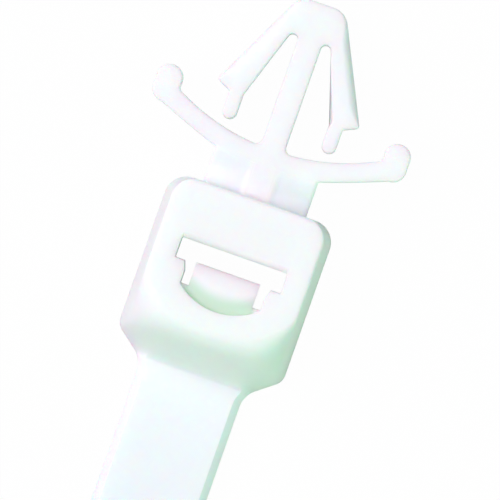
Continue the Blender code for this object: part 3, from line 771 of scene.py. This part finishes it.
def moulded_nylon(look):
    """Natural polyamide 66, injection moulded: milky, translucent at its edges, with a fine satin skin. Shade
    is painted into its colour in the pawl's pocket, on the strap and on the neck's web.
    """
    material = bpy.data.materials.new("moulded_natural_polyamide")
    material.use_nodes = True
    tree = material.node_tree
    shader = tree.nodes["Principled BSDF"]
    place = add_node(tree, "ShaderNodeTexCoord").outputs["Object"]
    # The mould's spark-eroded skin
    grain = add_node(tree, "ShaderNodeTexNoise", Vector=place, Scale=1 / look.grain, Detail=2.0)
    bump = add_node(tree, "ShaderNodeBump", Strength=0.12, Distance=SKIN_DEPTH, Height=grain.outputs["Fac"])
    # Slow clouds of denser and clearer polymer
    clouds = add_node(tree, "ShaderNodeTexNoise", Vector=place, Scale=1 / CLOUD_SIZE, Detail=1.0)
    cloud = clouds.outputs["Fac"]
    denser = [value * CLOUD_SHADE for value in look.colour]
    apart = add_node(tree, "ShaderNodeSeparateXYZ", Vector=place).outputs
    across = add_node(tree, "ShaderNodeMath", {"operation": "ABSOLUTE"}, i0=apart["X"]).outputs[0]
    along = add_node(
        tree, "ShaderNodeMath", {"operation": "SUBTRACT"}, i0=apart["Y"], i1=HEAD_EDGE_Y).outputs[0]
    # Painted shade: round the pawl's hinge, the pocket below the pawl's front face, which lies in shade, is
    # painted darker and greener
    painted_pocket_shade = zone(tree, [
        (across, 1.75 * MM, 1.45 * MM),
        (along, -3.85 * MM, -4.0 * MM),
        (along, -5.32 * MM, -5.26 * MM),
        (apart["Z"], PAWL_FACE - 0.001 * MM, PAWL_FACE - 0.05 * MM),
    ])
    # Painted shade: the strap, from below the chin on, and the neck's web are painted a little greyer and
    # bluer, for the shade near the head and in the web's recess
    strap = zone(tree, [(along, -7.4 * MM, -8.4 * MM)])
    web = zone(tree, [
        (across, STEM_HALF, STEM_HALF + 0.25 * MM),
        (along, -0.1 * MM, 0),
        (along, 1.8 * MM, 1.2 * MM),
    ])
    painted_strap_web_shade = add_node(tree, "ShaderNodeMath", {"operation": "MAXIMUM"}, i0=strap, i1=web).outputs[0]
    colour = (*look.colour, 1)
    mixing = {"data_type": "RGBA"}
    # Mixes in the clouds' random tone, then the painted shade of the pocket and that of the strap and web
    for share, other in ((cloud, denser), (painted_pocket_shade, look.painted_pocket_shade), (painted_strap_web_shade, look.painted_strap_web_shade)):
        colour = add_node(tree, "ShaderNodeMix", mixing, Factor=share, i6=colour, i7=(*other, 1)).outputs[2]
    spread = {"To_Min": look.roughness - ROUGH_SPREAD, "To_Max": look.roughness + ROUGH_SPREAD}
    rough = add_node(tree, "ShaderNodeMapRange", Value=cloud, **spread)
    tree.links.new(colour, shader.inputs["Base Color"])
    tree.links.new(rough.outputs[0], shader.inputs["Roughness"])
    tree.links.new(bump.outputs[0], shader.inputs["Normal"])
    shader.inputs["IOR"].default_value = NYLON_IOR
    shader.inputs["Subsurface Weight"].default_value = 1.0
    shader.inputs["Subsurface Radius"].default_value = look.scatter
    shader.inputs["Subsurface Scale"].default_value = look.scatter_depth
    return material


def white_paper(look):
    """Matt white paper. The camera sees it mostly by its own light, so it reads white and keeps a faint
    shadow."""
    material = bpy.data.materials.new("white_paper")
    material.use_nodes = True
    tree = material.node_tree
    shader = tree.nodes["Principled BSDF"]
    shader.inputs["Base Color"].default_value = (*look.floor, 1)
    shader.inputs["Roughness"].default_value = 0.9
    glow = add_node(tree, "ShaderNodeEmission", Color=(1, 1, 1, 1), Strength=1.0)
    path = add_node(tree, "ShaderNodeLightPath").outputs
    seen = path["Is Camera Ray"]
    for ray in ("Is Glossy Ray", "Is Transmission Ray"):
        seen = add_node(tree, "ShaderNodeMath", {"operation": "MAXIMUM"}, i0=seen, i1=path[ray]).outputs[0]
    share = add_node(tree, "ShaderNodeMath", {"operation": "MULTIPLY"}, i0=seen, i1=PAPER_GLOW)
    share = share.outputs[0]
    mix = add_node(tree, "ShaderNodeMixShader", i0=share, i1=shader.outputs[0], i2=glow.outputs[0])
    tree.links.new(mix.outputs[0], tree.nodes["Material Output"].inputs["Surface"])
    return material


def lamp(name, place, aim, side, power, colour):
    """A square area lamp that looks at a point."""
    light = bpy.data.lights.new(name, "AREA")
    light.size = side
    light.energy = power
    light.color = colour
    made = bpy.data.objects.new(name, light)
    made.location = place
    made.rotation_euler = (aim - place).to_track_quat("-Z", "Y").to_euler()
    bpy.context.scene.collection.objects.link(made)


def studio_sky(look):
    """The pale light from all round, which the camera sees as plain white."""
    world = bpy.data.worlds.new("studio_sky")
    world.use_nodes = True
    tree = world.node_tree
    sky = tree.nodes["Background"]
    sky.inputs["Color"].default_value = (*look.sky_colour, 1)
    sky.inputs["Strength"].default_value = look.sky
    white = add_node(tree, "ShaderNodeBackground", Color=(1, 1, 1, 1), Strength=1.0)
    seen = add_node(tree, "ShaderNodeLightPath").outputs["Is Camera Ray"]
    mix = add_node(tree, "ShaderNodeMixShader", i0=seen, i1=sky.outputs[0], i2=white.outputs[0])
    tree.links.new(mix.outputs[0], tree.nodes["World Output"].inputs["Surface"])
    return world


class CABLETIE_OT_studio(Operator):
    """Builds the white floor, the lamps, the sky and the camera"""

    bl_idname = "cabletie.studio"
    bl_label = "Build the studio"

    def execute(self, context):
        scene = context.scene
        look = scene.studio_look
        mesh = bpy.data.meshes.new("paper_floor")
        corners = [(-1, -1, 0), (1, -1, 0), (1, 1, 0), (-1, 1, 0)]
        mesh.from_pydata([Vector(corner) * PAPER_HALF for corner in corners], [], [(0, 1, 2, 3)])
        mesh.transform(Matrix.Translation((0, 0, -PAPER_GAP)))
        mesh.materials.append(white_paper(look))
        floor = bpy.data.objects.new("paper_floor", mesh)
        scene.collection.objects.link(floor)
        # The photograph's axes lie turned in the tie's plane, because the tie leans clockwise in the frame
        right = Vector((math.cos(LEAN), math.sin(LEAN), 0))
        up = Vector((-math.sin(LEAN), math.cos(LEAN), 0))
        axes = Matrix((right, up, (0, 0, 1))).transposed()
        aim = Vector((AIM.x, HEAD_EDGE_Y + AIM.y, AIM_HEIGHT))
        lamp("key_lamp", aim + axes @ Vector(KEY_PLACE), aim, KEY_SIDE, look.key, look.key_colour)
        lamp("fill_lamp", aim + axes @ Vector(FILL_PLACE), aim, FILL_SIDE, look.fill, look.fill_colour)
        scene.world = studio_sky(look)
        data = bpy.data.cameras.new("camera")
        data.sensor_width = SENSOR_WIDTH
        data.lens = SENSOR_WIDTH * CAMERA_DISTANCE / FRAME_SIDE
        data.clip_start = 0.05
        data.clip_end = 20
        camera = bpy.data.objects.new("camera", data)
        turned = Matrix.Rotation(VIEW_TURN, 4, "Y") @ axes.to_4x4()
        camera.matrix_world = Matrix.Translation(aim) @ turned @ Matrix.Translation((0, 0, CAMERA_DISTANCE))
        scene.collection.objects.link(camera)
        scene.camera = camera
        scene.view_settings.view_transform = "Standard"
        return {"FINISHED"}


class CABLETIE_PT_panel(Panel):
    """Lists the sizes, the looks and the buttons"""

    bl_idname = "CABLETIE_PT_panel"
    bl_label = "Cable tie"
    bl_space_type = "VIEW_3D"
    bl_region_type = "UI"
    bl_category = "Cable tie"

    def draw(self, context):
        for group in (context.scene.tie_sizes, context.scene.nylon_look, context.scene.studio_look):
            box = self.layout.box()
            for name in group.bl_rna.properties.keys():
                if name not in ("name", "rna_type"):
                    box.prop(group, name)
        self.layout.operator(CABLETIE_OT_moulding.bl_idname)
        self.layout.operator(CABLETIE_OT_studio.bl_idname)


CLASSES = (TieSizes, NylonLook, StudioLook, CABLETIE_OT_moulding, CABLETIE_OT_studio, CABLETIE_PT_panel)


def register():
    """Registers the classes and gives each scene its sizes and looks."""
    for item in CLASSES:
        bpy.utils.register_class(item)
    bpy.types.Scene.tie_sizes = PointerProperty(type=TieSizes)
    bpy.types.Scene.nylon_look = PointerProperty(type=NylonLook)
    bpy.types.Scene.studio_look = PointerProperty(type=StudioLook)


def unregister():
    """Takes back what register added."""
    del bpy.types.Scene.tie_sizes
    del bpy.types.Scene.nylon_look
    del bpy.types.Scene.studio_look
    for item in reversed(CLASSES):
        bpy.utils.unregister_class(item)


def main():
    """Builds the studio and the tie."""
    register()
    bpy.ops.cabletie.studio()
    bpy.ops.cabletie.moulding()


if __name__ == "__main__":
    main()
